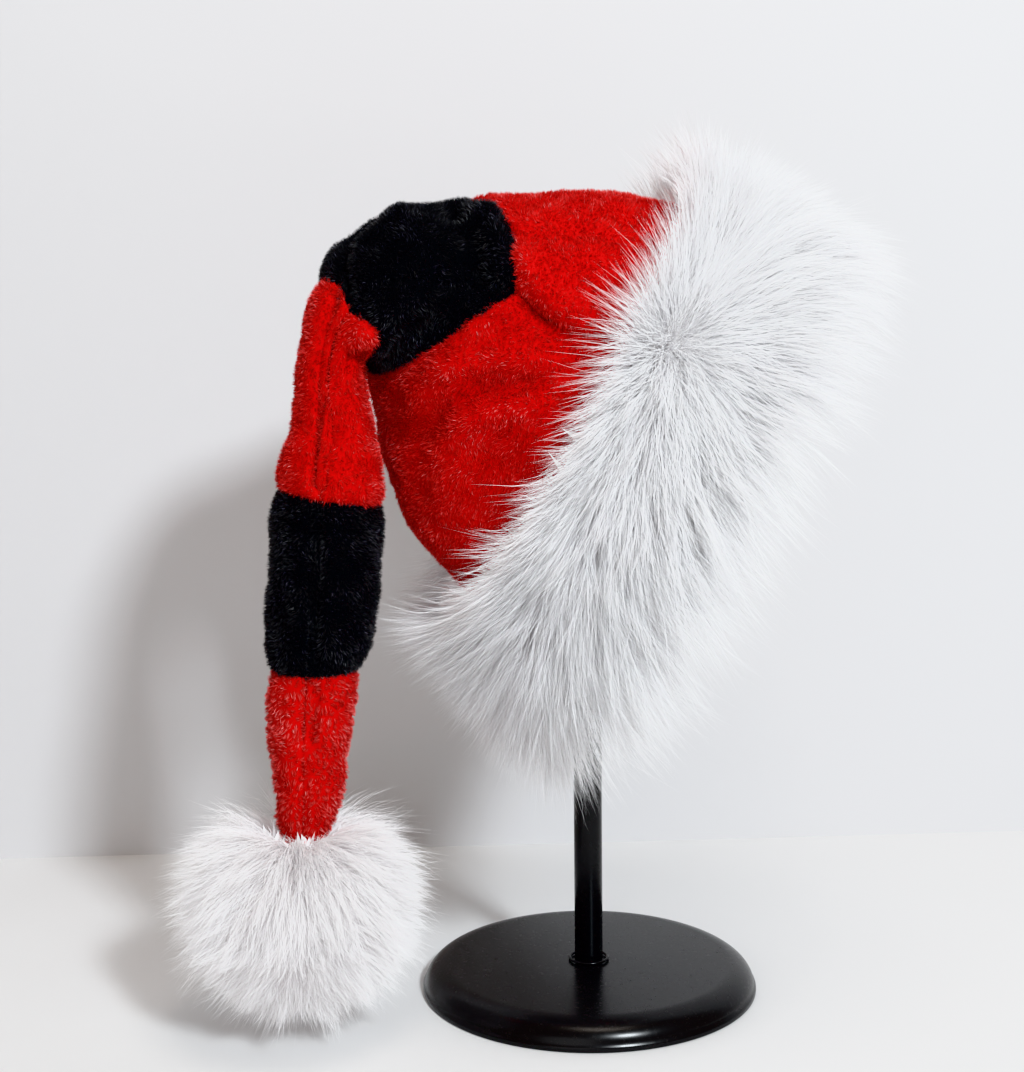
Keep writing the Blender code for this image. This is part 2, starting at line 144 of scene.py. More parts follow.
# Pompom hair
POMPOM_HAIRS = 34000
POMPOM_CENTRE = Vector((-0.1360, -0.0500, 0.0595))
POMPOM_CORE = 0.0340
POMPOM_WIDE = 0.0640
POMPOM_TALL = 0.0570
POMPOM_DROOP = 0.42
POMPOM_FRONT_DROOP = 1.15
WOOL_TUFTS = 5000
WOOL_WIDTH = 5.0 * MM

# Pile of the plush
PILE_LENGTH = 0.0025
PILE_WIDTH = 0.00040
PILE_PER_AREA = 2.3e6
PILE_CURLS = {"tail_lower": (18, 0.62)}
PILE_PLAIN = (8, 0.45)

# Base plate: the lip under its rim, the radius of its flat top, and its facets
PLATE_LIP = 0.0022
PLATE_FLAT = 0.0685
PLATE_STEPS = 14
PLATE_SIDES = 160

# Stage and light
STAGE_SIZE = 8
WALL_PLACE = (0, 0.235, 0)
WALL_TURN = 3.0
ROOM_LIGHT = 0.215
ROOM_COLOUR = (1.0, 0.87, 0.78, 1)
LIGHTS = (
    # name   place                    target            size  power  colour
    ("key",  (0.70, -1.474, 1.223),   (0, 0, 0.25),     0.26, 35,    (0.88, 0.95, 1.0)),
    ("fill", (-0.35, -1.30, 0.35),    (-0.05, 0, 0.15), 0.9,  2.4,   (0.96, 0.98, 1.0)),
    ("top",  (0.10, -0.35, 1.35),     (0, 0, 0.1),      0.6,  4,     (1.0, 0.92, 0.85)),
)

CUFF_ALONG = (SEWN_CENTRE - OPEN_CENTRE).normalized()
CUFF_UP = Vector((math.cos(math.radians(OVAL_TURN)), 0, math.sin(math.radians(OVAL_TURN))))
CUFF_BACK = CUFF_ALONG.cross(CUFF_UP).normalized()

# The hat's tubes of cloth from the cuff to the pompom, of two panels each
ZONES = {
    "crown": "red",
    "bend": "black",
    "tail_upper": "red",
    "tail_band": "black",
    "tail_lower": "red",
}


def deselect():
    bpy.ops.object.select_all(action="DESELECT")


def make_active(piece):
    deselect()
    piece.select_set(True)
    bpy.context.view_layer.objects.active = piece


def apply_modifiers(piece):
    make_active(piece)
    for modifier in list(piece.modifiers):
        bpy.ops.object.modifier_apply(modifier=modifier.name)


def unit(vectors):
    return vectors / np.maximum(np.linalg.norm(vectors, axis=-1, keepdims=True), 1e-9)


def waves(points, length, seed, count=6):
    """Smooth noise of about -1 to 1 at points, with waves of about the given length."""
    random = np.random.default_rng(seed)
    ways = unit(random.normal(size=(count, 3)))
    pitch = 2 * np.pi / (length * random.uniform(0.7, 1.4, count))
    phase = random.uniform(0, 2 * np.pi, count)
    return np.sin(points @ (ways * pitch[:, None]).T + phase).sum(axis=1) / math.sqrt(count)


def wave_vectors(points, length, seed):
    return np.stack([waves(points, length, seed + i) for i in range(3)], axis=1)


# Materials

def new_material(name):
    material = bpy.data.materials.new(name)
    material.use_nodes = True
    nodes = material.node_tree.nodes
    return material, nodes, material.node_tree.links, nodes["Principled BSDF"]


def set_value(shader, **values):
    for name, value in values.items():
        shader.inputs[name.replace("_", " ")].default_value = value


def noise_node(nodes, links, place, scale, detail=3.0, roughness=0.55):
    noise = nodes.new("ShaderNodeTexNoise")
    noise.inputs["Scale"].default_value = scale
    noise.inputs["Detail"].default_value = detail
    noise.inputs["Roughness"].default_value = roughness
    links.new(place, noise.inputs["Vector"])
    return noise.outputs["Fac"]


def ramp_node(nodes, links, factor, stops):
    ramp = nodes.new("ShaderNodeValToRGB")
    ramp.color_ramp.elements.remove(ramp.color_ramp.elements[1])
    for i, (place, colour) in enumerate(stops):
        stop = ramp.color_ramp.elements[0] if i == 0 else ramp.color_ramp.elements.new(place)
        stop.position = place
        stop.color = (*colour, 1)
    links.new(factor, ramp.inputs["Fac"])
    return ramp.outputs["Color"]


def plush_group():
    """Brushed pile: random patches painted lighter or darker as painted sheen, and a fine grain."""
    group = bpy.data.node_groups.new("brushed_pile", "ShaderNodeTree")
    face = group.interface
    face.new_socket("Dark", in_out="INPUT", socket_type="NodeSocketColor")
    face.new_socket("Light", in_out="INPUT", socket_type="NodeSocketColor")
    face.new_socket("Colour", in_out="OUTPUT", socket_type="NodeSocketColor")
    face.new_socket("Height", in_out="OUTPUT", socket_type="NodeSocketFloat")
    nodes, links = group.nodes, group.links
    start = nodes.new("NodeGroupInput")
    end = nodes.new("NodeGroupOutput")
    place = nodes.new("ShaderNodeTexCoord").outputs["Object"]
    patches = noise_node(nodes, links, place, 55, 3, 0.6)
    grain = noise_node(nodes, links, place, 900, 2, 0.6)
    both = nodes.new("ShaderNodeMath")
    both.operation = "MULTIPLY_ADD"
    both.inputs[1].default_value = 0.45
    links.new(grain, both.inputs[0])
    scaled = nodes.new("ShaderNodeMath")
    scaled.operation = "MULTIPLY"
    scaled.inputs[1].default_value = 0.60
    links.new(patches, scaled.inputs[0])
    links.new(scaled.outputs[0], both.inputs[2])
    blend = nodes.new("ShaderNodeMix")
    blend.data_type = "RGBA"
    links.new(both.outputs[0], blend.inputs[0])
    links.new(start.outputs["Dark"], blend.inputs[6])
    links.new(start.outputs["Light"], blend.inputs[7])
    links.new(blend.outputs[2], end.inputs["Colour"])
    links.new(both.outputs[0], end.inputs["Height"])
    return group


def plush(name, group, dark, light, sheen, sheen_tint):
    material, nodes, links, shader = new_material(name)
    pile = nodes.new("ShaderNodeGroup")
    pile.node_tree = group
    pile.inputs["Dark"].default_value = (*dark, 1)
    pile.inputs["Light"].default_value = (*light, 1)
    bump = nodes.new("ShaderNodeBump")
    bump.inputs["Strength"].default_value = 0.6
    bump.inputs["Distance"].default_value = 0.6 * MM
    links.new(pile.outputs["Height"], bump.inputs["Height"])
    links.new(pile.outputs["Colour"], shader.inputs["Base Color"])
    links.new(bump.outputs["Normal"], shader.inputs["Normal"])
    set_value(shader, Roughness=0.9, Sheen_Weight=sheen, Sheen_Roughness=0.45)
    shader.inputs["Sheen Tint"].default_value = (*sheen_tint, 1)
    shader.inputs["Specular IOR Level"].default_value = 0.15
    return material


def nap(name, root, tip, painted_glint):
    """Plush fibres: painted shade dark at the roots between them, lighter at the tips, and some
    brighter than the rest with a painted glint.
    """
    material, nodes, links, shader = new_material(name)
    reach = nodes.new("ShaderNodeAttribute")
    reach.attribute_name = "reach"
    tone = nodes.new("ShaderNodeAttribute")
    tone.attribute_name = "tone"
    # Darker towards the root: painted shade between the fibres.
    colour = ramp_node(nodes, links, reach.outputs["Fac"], ((0.0, root), (0.8, tip)))
    vary = nodes.new("ShaderNodeMix")
    vary.data_type = "RGBA"
    vary.blend_type = "MULTIPLY"
    vary.inputs[0].default_value = 1.0
    # Above three quarters of the tone, fibres take the painted glint colour: a painted highlight.
    shade = ramp_node(nodes, links, tone.outputs["Fac"], (
        (0.0, (0.68, 0.68, 0.68)), (0.75, (1, 1, 1)), (1.0, painted_glint)))
    links.new(colour, vary.inputs[6])
    links.new(shade, vary.inputs[7])
    links.new(vary.outputs[2], shader.inputs["Base Color"])
    set_value(shader, Roughness=0.5, Sheen_Weight=0.2, Sheen_Roughness=0.4)
    shader.inputs["Sheen Tint"].default_value = (*tip, 1)
    shader.inputs["Specular IOR Level"].default_value = 0.35
    return material


def fur(name, root, tip, glow=0.0):
    """White hair, greyer at the root as painted shade between the hairs, a little different from
    hair to hair;
    glow: emission, a painted glow standing in for the light that dense hair passes on from hair to
    hair."""
    material, nodes, links, shader = new_material(name)
    reach = nodes.new("ShaderNodeAttribute")
    reach.attribute_name = "reach"
    tone = nodes.new("ShaderNodeAttribute")
    tone.attribute_name = "tone"
    # Greyer towards the root: painted shade deep in the hair.
    colour = ramp_node(nodes, links, reach.outputs["Fac"], ((0.0, root), (0.55, tip)))
    vary = nodes.new("ShaderNodeMix")
    vary.data_type = "RGBA"
    vary.blend_type = "MULTIPLY"
    vary.inputs[0].default_value = 1.0
    shade = ramp_node(nodes, links, tone.outputs["Fac"], (
        (0.0, (0.84, 0.82, 0.84)), (0.5, (1.0, 1.0, 1.0))))
    links.new(colour, vary.inputs[6])
    links.new(shade, vary.inputs[7])
    links.new(vary.outputs[2], shader.inputs["Base Color"])
    # Emission: a painted glow, the fur is no lamp.
    shader.inputs["Emission Color"].default_value = (1.0, 0.94, 0.95, 1)
    set_value(shader, Roughness=0.45, Emission_Strength=glow)
    shader.inputs["Specular IOR Level"].default_value = 0.4
    return material


def paint(name):
    """Glossy black paint with a trace of dust and orange peel."""
    material, nodes, links, shader = new_material(name)
    place = nodes.new("ShaderNodeTexCoord").outputs["Object"]
    dust = noise_node(nodes, links, place, 420, 6, 0.7)
    colour = ramp_node(nodes, links, dust, (
        (0.55, (0.0075, 0.0070, 0.0075)), (0.80, (0.016, 0.014, 0.013))))
    rough = nodes.new("ShaderNodeMapRange")
    rough.inputs["To Min"].default_value = 0.17
    rough.inputs["To Max"].default_value = 0.34
    links.new(dust, rough.inputs["Value"])
    peel = noise_node(nodes, links, place, 160, 2, 0.5)
    bump = nodes.new("ShaderNodeBump")
    bump.inputs["Strength"].default_value = 0.04
    bump.inputs["Distance"].default_value = 0.2 * MM
    links.new(peel, bump.inputs["Height"])
    shader.inputs["Specular IOR Level"].default_value = 0.38
    links.new(colour, shader.inputs["Base Color"])
    links.new(rough.outputs["Result"], shader.inputs["Roughness"])
    links.new(bump.outputs["Normal"], shader.inputs["Normal"])
    return material


def knit(name, colour):
    """The cuff's backing: fine stitches, darker towards their edges as painted shade in the hollows
    between them.
    """
    material, nodes, links, shader = new_material(name)
    place = nodes.new("ShaderNodeTexCoord").outputs["Object"]
    cells = nodes.new("ShaderNodeTexVoronoi")
    cells.inputs["Scale"].default_value = 700
    links.new(place, cells.inputs["Vector"])
    tint = ramp_node(nodes, links, cells.outputs["Distance"], (
        (0.0, colour), (0.8, tuple(0.72 * c for c in colour))))
    bump = nodes.new("ShaderNodeBump")
    bump.inputs["Strength"].default_value = 0.5
    bump.inputs["Distance"].default_value = 0.4 * MM
    bump.invert = True
    links.new(cells.outputs["Distance"], bump.inputs["Height"])
    links.new(tint, shader.inputs["Base Color"])
    links.new(bump.outputs["Normal"], shader.inputs["Normal"])
    set_value(shader, Roughness=0.95)
    return material


# Cloth panels

def in_photo(points):
    """Pixels of the photograph for points."""
    turn = np.array(camera_turn())
    seen = (points - np.array(CAMERA_PLACE)) @ turn
    return seen[:, :2] / -seen[:, 2:] * FOCAL_PIXELS * (1, -1) + (PHOTO_WIDE / 2, PHOTO_TALL / 2)


def from_line(pixels, line):
    """Distance in pixels to a line of several points."""
    line = np.array(line, float)
    nearest = np.full(len(pixels), np.inf)
    for start, end in zip(line[:-1], line[1:]):
        step = end - start
        share = np.clip((pixels - start) @ step / (step @ step), 0, 1)
        away = pixels - start - share[:, None] * step
        nearest = np.minimum(nearest, np.linalg.norm(away, axis=1))
    return nearest


def fold_depth(name, points, middle):
    """Depth in metres of a part's folds, on the half in front of its middle."""
    pixels = in_photo(points)
    depth = np.zeros(len(points))
    for part, folds in FOLDS.items():
        if name.startswith(part) or part.startswith(name):
            for line, deep, half in folds:
                depth += deep * MM * np.exp(-(from_line(pixels, line) / half) ** 2)
    return depth * np.clip((middle + 0.012 - points[:, 1]) / 0.012, 0, 1)


def widen_rim(piece, reach):
    """The panel's cut edge is creased and pushed out a little, so that seams close, and
    the two sides are told apart: "outside" is 1 on the outer side and -1 on the inner."""
    shape = bmesh.new()
    shape.from_mesh(piece.data)
    crease = shape.edges.layers.float.new("crease_edge")
    outside = shape.verts.layers.float.new("outside")
    for edge in shape.edges:
        if len(edge.link_faces) == 2 and edge.calc_face_angle() > 0.95:
            edge[crease] = 1.0
    rim = {face for face in shape.faces if sum(edge[crease] > 0 for edge in face.edges) >= 2}
    left, sides = set(shape.faces) - rim, []
    while left:
        front = [left.pop()]
        side = list(front)
        while front:
            face = front.pop()
            beside = left & {
                other for edge in face.edges if not edge[crease] for other in edge.link_faces}
            left -= beside
            front += beside
            side += beside
        sides.append(side)
    sides.sort(key=lambda side: sum(face.calc_area() for face in side))
    for way, side in ((-1, sides[-2]), (1, sides[-1])):
        for face in side:
            for vert in face.verts:
                vert[outside] = way
    push = {}
    for face in rim:
        for vert in face.verts:
            push[vert] = push.get(vert, Vector()) + face.normal
    for vert, way in push.items():
        vert.co += way.normalized() * reach
    borders = [tuple(vert.co) for vert in push]
    shape.to_mesh(piece.data)
    shape.free()
    return borders


def smooth_through(piece, levels, rounds=3):
    """Subdivide so that the smooth surface still passes through the solid's corners."""
    smooth = piece.modifiers.new("Smooth", "SUBSURF")
    smooth.levels = smooth.render_levels = levels
    count = len(piece.data.vertices)
    goal = read_points(piece)[0]
    corners = goal.copy()
    for _ in range(rounds):
        shown = piece.evaluated_get(bpy.context.evaluated_depsgraph_get())
        corners += 0.9 * (goal - read_points(shown)[0][:count])
        piece.data.vertices.foreach_set("co", corners.astype(np.float32).ravel())
        piece.data.update()
        bpy.context.view_layer.update()
    apply_modifiers(piece)


def cloth_panel(node, material):
    """A sewn panel's solid, rounded off, and the corners of its cut edge."""
    name = node.replace("_panel", "_plush")
    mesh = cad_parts[node].data.copy()
    piece = bpy.data.objects.new(name, mesh)
    bpy.context.scene.collection.objects.link(piece)
    mesh.materials.clear()
    mesh.materials.append(material)
    make_active(piece)
    bpy.ops.object.mode_set(mode="EDIT")
    bpy.ops.mesh.select_all(action="SELECT")
    bpy.ops.mesh.remove_doubles(threshold=0.00001)
    bpy.ops.mesh.tris_convert_to_quads(
        face_threshold=math.radians(60), shape_threshold=math.radians(60))
    bpy.ops.object.mode_set(mode="OBJECT")
    borders = widen_rim(piece, RIM_REACH)
    smooth_through(piece, CLOTH_LEVELS)
    return piece, borders


def relax_cloth(panels):
    """Soft swells between a tube's seams, and its folds. panels: pieces and their borders.
    Returns the depth of the tube's middle."""
    middle = np.mean([read_points(piece)[0][:, 1].mean() for piece, _ in panels])
    for piece, borders in panels:
        points, normals = read_points(piece)
        tree = KDTree(len(borders))
        for i, place in enumerate(borders):
            tree.insert(place, i)
        tree.balance()
        from_seam = np.array([tree.find(Vector(point))[2] for point in points])
        inside = np.clip(from_seam / SWELL_IN, 0, 1)
        swell = inside * (0.55 * waves(points, 0.022, 31) + 0.30 * waves(points, 0.009, 47))
        puff = 0.9 * np.sin(inside * np.pi / 2) - 0.3
        out = np.sign(read_outside(piece))
        depth = fold_depth(piece.name, points, middle)
        points += normals * (out * ((swell + puff) * MM - depth))[:, None]
        piece.data.vertices.foreach_set("co", points.astype(np.float32).ravel())
        piece.data.update()
        piece.data.shade_smooth()
    return middle


def read_outside(piece):
    values = np.zeros(len(piece.data.vertices), np.float32)
    piece.data.attributes["outside"].data.foreach_get("value", values)
    return values


def read_points(piece):
    count = len(piece.data.vertices)
    points = np.zeros(count * 3, np.float32)
    normals = np.zeros(count * 3, np.float32)
    piece.data.vertices.foreach_get("co", points)
    piece.data.vertex_normals.foreach_get("vector", normals)
    return points.reshape(-1, 3).astype(float), normals.reshape(-1, 3).astype(float)


def read_triangles(piece):
    piece.data.calc_loop_triangles()
    corners = np.zeros(len(piece.data.loop_triangles) * 3, np.int32)
    piece.data.loop_triangles.foreach_get("vertices", corners)
    return corners.reshape(-1, 3)


def surface_area(piece):
    points, _ = read_points(piece)
    a, b, c = (points[read_triangles(piece)[:, i]] for i in range(3))
    return float(np.linalg.norm(np.cross(b - a, c - a), axis=1).sum() / 2)


def scatter(pieces, per_area, seed):
    """Random places on the outer side of closed panels, with the normals there."""
    random = np.random.default_rng(seed)
    places, ways = [], []
    for piece in pieces:
        points, normals = read_points(piece)
        triangles = read_triangles(piece)
        a, b, c = (points[triangles[:, i]] for i in range(3))
        cross = np.cross(b - a, c - a)
        area = np.linalg.norm(cross, axis=1) / 2
        on_outside_or_rim = read_outside(piece)[triangles].mean(axis=1) > -0.4
        share = area * on_outside_or_rim
        count = int(share.sum() * per_area)
        chosen = random.choice(len(triangles), count, p=share / share.sum())
        u, v = random.random(count), random.random(count)
        over = u + v > 1
        u[over], v[over] = 1 - u[over], 1 - v[over]
        weights = np.stack([1 - u - v, u, v], axis=1)[:, :, None]
        places.append((points[triangles[chosen]] * weights).sum(axis=1))
        ways.append(unit((normals[triangles[chosen]] * weights).sum(axis=1)))
    return np.concatenate(places), np.concatenate(ways)


# Hair

def strands(name, paths, widths, flats, tones, material):
    """Tapered ribbons along paths of points; flats: the way each ribbon's flat side faces."""
    hairs, points = paths.shape[:2]
    along = np.gradient(paths, axis=1)
    side = unit(np.cross(along, flats[:, None, :]))
    half = side[:, :-1] * (widths[:, :-1, None] / 2)
    left, right = paths[:, :-1] - half, paths[:, :-1] + half
    verts = np.concatenate([np.stack([left, right], 2).reshape(hairs, -1, 3), paths[:, -1:]], 1)
    per_hair = 2 * points - 1
    quads = [(2 * i, 2 * i + 1, 2 * i + 3, 2 * i + 2) for i in range(points - 2)]
    tip = [per_hair - 3, per_hair - 2, per_hair - 1]
    loops = np.array([corner for quad in quads for corner in quad] + tip)
    starts = np.arange(points - 1) * 4
    first = np.arange(hairs)[:, None]
    mesh = bpy.data.meshes.new(name)
    mesh.vertices.add(hairs * per_hair)
    mesh.loops.add(hairs * len(loops))
    mesh.polygons.add(hairs * (points - 1))
    mesh.vertices.foreach_set("co", verts.astype(np.float32).ravel())
    mesh.loops.foreach_set("vertex_index", (first * per_hair + loops).astype(np.int32).ravel())
    mesh.polygons.foreach_set("loop_start", (first * len(loops) + starts).astype(np.int32).ravel())
    mesh.update(calc_edges=True)
    reach = np.append(np.repeat(np.arange(points - 1) / (points - 1), 2), 1.0)
    for label, values in (("reach", np.tile(reach, hairs)), ("tone", np.repeat(tones, per_hair))):
        attribute = mesh.attributes.new(label, "FLOAT", "POINT")
        attribute.data.foreach_set("value", values.astype(np.float32))
    mesh.shade_smooth()
    mesh.materials.append(material)
    piece = bpy.data.objects.new(name, mesh)
    bpy.context.scene.collection.objects.link(piece)
    return piece


def gather(roots, per_tuft, seed):
    """The tuft that each root belongs to, and each tuft's first root."""
    random = np.random.default_rng(seed)
    heads = random.choice(len(roots), max(len(roots) // per_tuft, 1), replace=False)
    tree = KDTree(len(heads))
    for i, head in enumerate(heads):
        tree.insert(Vector(roots[head]), i)
    tree.balance()
    return np.array([tree.find(Vector(root))[1] for root in roots]), heads


def grow(roots, outs, ways, lengths, tuft_pull, wander, seed, per_tuft=HAIRS_A_TUFT):
    """Curved hairs from roots: they leave along outs, bend to ways and close into tufts."""
    random = np.random.default_rng(seed)
    tuft, heads = gather(roots, per_tuft, seed + 1)
    shift = random.normal(size=(len(heads), 3)) * wander
    ways = unit(ways + shift[tuft] + random.normal(size=ways.shape) * wander * 0.5)
    starts = unit(outs + ways * 0.7 + random.normal(size=ways.shape) * 0.10)
    ends = roots + ways * lengths[:, None]
    middles = roots + starts * (lengths * 0.5)[:, None]
    share = np.linspace(0, 1, HAIR_POINTS)[None, :, None]
    paths = ((1 - share) ** 2 * roots[:, None] + 2 * share * (1 - share) * middles[:, None]
             + share ** 2 * ends[:, None])
    pull = (tuft_pull * random.uniform(0.6, 1.1, len(roots)))[:, None, None] * share ** 1.3
    target = paths[heads][tuft]
    scale = (lengths / lengths[heads][tuft])[:, None, None]
    target = target[:, :1] + (target - target[:, :1]) * scale
    paths = paths + (target - paths) * np.clip(pull, 0, 0.95)
    bend = (wave_vectors(ends, 0.024, seed + 5) * 2.4 * MM
            + wave_vectors(ends, 0.008, seed + 9) * 0.7 * MM)
    return paths + bend[:, None] * share ** 2


def cuff_frame(shares, ways):
    """Points of the cuff's outer skin and the outward ways; shares: 0 open edge to 1 sewn
    line; ways: turns round it."""
    centre = np.array(OPEN_CENTRE) + shares[:, None] * np.array(SEWN_CENTRE - OPEN_CENTRE)
    turn = 2 * np.pi * ways
    long = OVAL_LONG * (1 - 0.055 * (shares - 0.4)) + 0.0045
    deep = OVAL_DEEP * (1 - 0.035 * (shares - 0.4)) + 0.0045
    up, back = np.array(CUFF_UP), np.array(CUFF_BACK)
    across, inward = np.cos(turn)[:, None], -np.sin(turn)[:, None]
    points = centre + up * across * long[:, None] + back * inward * deep[:, None]
    outs = unit(up * across / long[:, None] + back * inward / deep[:, None])
    return points, outs


def cuff_flow(shares, turns):
    """Roots on the cuff's skin and the way the hair lies there: a fan round each whorl,
    and elsewhere down from the crown and away from it."""
    random = np.random.default_rng(7)
    roots, outs = cuff_frame(shares, turns)
    height = np.maximum(np.cos(2 * np.pi * turns), 0)
    by_post = np.maximum(-np.cos(2 * np.pi * turns), 0) ** 6 * (1 - shares)
    lean = (LEAN_OPEN + LEAN_GAIN * shares + LEAN_TOP * height ** 1.5 * (1 - shares)
            + LEAN_POST * by_post + LEAN_TOP_SEWN * height * shares ** 2)
    down = np.array((0.0, 0.0, -1.0)) - outs * (-outs[:, 2:])
    whorls = cuff_frame(*np.array(WHORLS).T)[0]
    apart = np.where((turns % 1.0 < 0.45)[:, None], roots - whorls[0], roots - whorls[1])
    apart = apart + FAN_BLUR * random.normal(size=apart.shape)
    far = np.linalg.norm(apart, axis=1, keepdims=True)
    fan = apart - outs * (apart * outs).sum(axis=1, keepdims=True)
    near = np.exp(-(far / WHORL_WIDE) ** 2)
    fan = unit(fan) * np.tanh(far / FAN_START) * near
    rest = np.array(CUFF_ALONG) * lean[:, None] + CUFF_DROOP * down
    ways = unit(outs * (1 - 0.35 * near) + rest * (1 - 0.55 * near) + FAN_PULL * fan)
    lengths = HAIR_LENGTH * (1.33 - 0.56 * shares) * (1 - 0.14 * height) * (1 - 0.22 * near[:, 0])
    return roots, outs, ways, lengths


def cuff_hair(material):
    """Long hair all round the cuff, thicker at its whorls, in one piece for each side."""
    random = np.random.default_rng(11)
    extra = int(WHORL_EXTRA * CUFF_HAIRS)
    shares = random.random(CUFF_HAIRS)
    turns = random.random(CUFF_HAIRS)
    share, turn = np.array(WHORLS)[np.arange(extra) % 2].T
    shares[:extra] = np.clip(share + 0.13 * random.normal(size=extra), 0, 1)
    turns[:extra] = turn + 0.022 * random.normal(size=extra)
    roots, outs, ways, lengths = cuff_flow(shares, turns)
    kinds, kind_shares = zip(*HAIR_KINDS)
    lengths *= random.choice(kinds, CUFF_HAIRS, p=kind_shares)
    lengths *= random.uniform(0.93, 1.07, CUFF_HAIRS)
    loose = random.random(CUFF_HAIRS) < 0.20 + 0.38 * shares ** 6
    lengths *= 1 + 0.30 * loose * shares ** 6
    pull = np.where(loose, 0.05, 0.54)
    paths = grow(roots, outs, ways, lengths, pull, HAIR_WANDER, 21)
    flats = unit(outs + 0.8 * random.normal(size=outs.shape))
    taper = np.linspace(1.0, HAIR_TIP, HAIR_POINTS)
    widths = HAIR_WIDTH * random.uniform(0.6, 1.2, (CUFF_HAIRS, 1)) * taper
    tones = random.random(CUFF_HAIRS)
    sector = ((turns % 1.0) * CUFF_PIECES).astype(int)
    pieces = []
    for i in range(CUFF_PIECES):
        pick = sector == i
        pieces.append(strands(
            f"cuff_fur_{i + 1}", paths[pick], widths[pick], flats[pick], tones[pick], material))
    return pieces


def undercoat(material):
    """Short wide wool close to the cuff's skin, under the long hair: a quarter of it along
    the sewn line and an eighth at the whorls."""
    random = np.random.default_rng(29)
    shares = random.random(UNDERCOAT)
    turns = random.random(UNDERCOAT)
    shares[::4] = 1 - 0.12 * shares[::4]
    for start, (share, turn) in zip((0, 8), WHORLS):
        shares[start::16] = share + 0.08 * random.normal(size=len(shares[start::16]))
        turns[start::16] = turn + 0.012 * random.normal(size=len(turns[start::16]))
    roots, outs, ways, lengths = cuff_flow(np.clip(shares, 0, 1), turns)
    ways = unit(ways + 0.35 * random.normal(size=ways.shape))
    tips = roots + ways * (lengths * random.uniform(0.22, 0.42, UNDERCOAT))[:, None]
    paths = np.stack([roots - outs * 1.5 * MM, tips], axis=1)
    widths = np.full((UNDERCOAT, 2), UNDERCOAT_WIDTH) * random.uniform(0.5, 1.1, (UNDERCOAT, 1))
    flats = unit(outs + 0.5 * random.normal(size=outs.shape))
    return strands("cuff_undercoat", paths, widths, flats, random.random(UNDERCOAT), material)


def pompom_hair(material):
    """The pompom's hair runs down from the tail's end over the ball and stands off it."""
    random = np.random.default_rng(17)
    outs = unit(random.normal(size=(POMPOM_HAIRS * 2, 3)) + (0, 0, 0.12))
    outs = outs[outs[:, 2] < 0.93][:POMPOM_HAIRS]
    centre = np.array(POMPOM_CENTRE)
    roots = centre + outs * POMPOM_CORE
    down = unit(np.array((0.0, 0.0, -1.0)) - outs * (-outs[:, 2:]))
    in_front = np.clip(2 * outs[:, 2:], -0.6, 1) * (1 - 0.85 * outs[:, :1] ** 2)
    ways = unit(outs + (POMPOM_DROOP + POMPOM_FRONT_DROOP * in_front) * down)
    flat = np.hypot(ways[:, 0], ways[:, 1]) / POMPOM_WIDE
    reach = 1 / np.hypot(flat, ways[:, 2] / POMPOM_TALL)
    across = (ways * outs).sum(axis=1) * POMPOM_CORE
    lengths = np.sqrt(across ** 2 + reach ** 2 - POMPOM_CORE ** 2) - across
    loose = random.random(POMPOM_HAIRS) < 0.22
    lengths *= np.where(
        loose, random.uniform(0.85, 1.22, POMPOM_HAIRS), random.uniform(0.62, 0.98, POMPOM_HAIRS))
    pull = np.where(loose, 0.05, 0.45)
    paths = grow(roots, outs, ways, lengths, pull, HAIR_WANDER, 41)
    above_floor = random.uniform(0.6, 2.5, (POMPOM_HAIRS, 1)) * MM
    paths[..., 2] = np.maximum(paths[..., 2], above_floor)
    flats = unit(outs + 0.9 * random.normal(size=ways.shape))
    taper = np.linspace(1.0, HAIR_TIP, HAIR_POINTS)
    widths = (np.where(loose, 0.7, 1.15)[:, None] * HAIR_WIDTH
              * random.uniform(0.6, 1.2, (POMPOM_HAIRS, 1)) * taper)
    return strands("pompom_fur", paths, widths, flats, random.random(POMPOM_HAIRS), material)


def pompom_wool(material):
    """Short wide wool round the pompom's heart, so that no gap shows through it."""
    random = np.random.default_rng(37)
    outs = unit(random.normal(size=(WOOL_TUFTS, 3)))
    roots = np.array(POMPOM_CENTRE) + outs * POMPOM_CORE * 0.92
    ways = unit(outs + 0.9 * random.normal(size=outs.shape))
    paths = np.stack([roots, roots + ways * random.uniform(6, 13, (WOOL_TUFTS, 1)) * MM], axis=1)
    widths = np.full((WOOL_TUFTS, 2), WOOL_WIDTH) * random.uniform(0.6, 1.1, (WOOL_TUFTS, 1))
    flats = unit(outs + 0.4 * random.normal(size=outs.shape))
    return strands("pompom_wool", paths, widths, flats, random.random(WOOL_TUFTS), material)


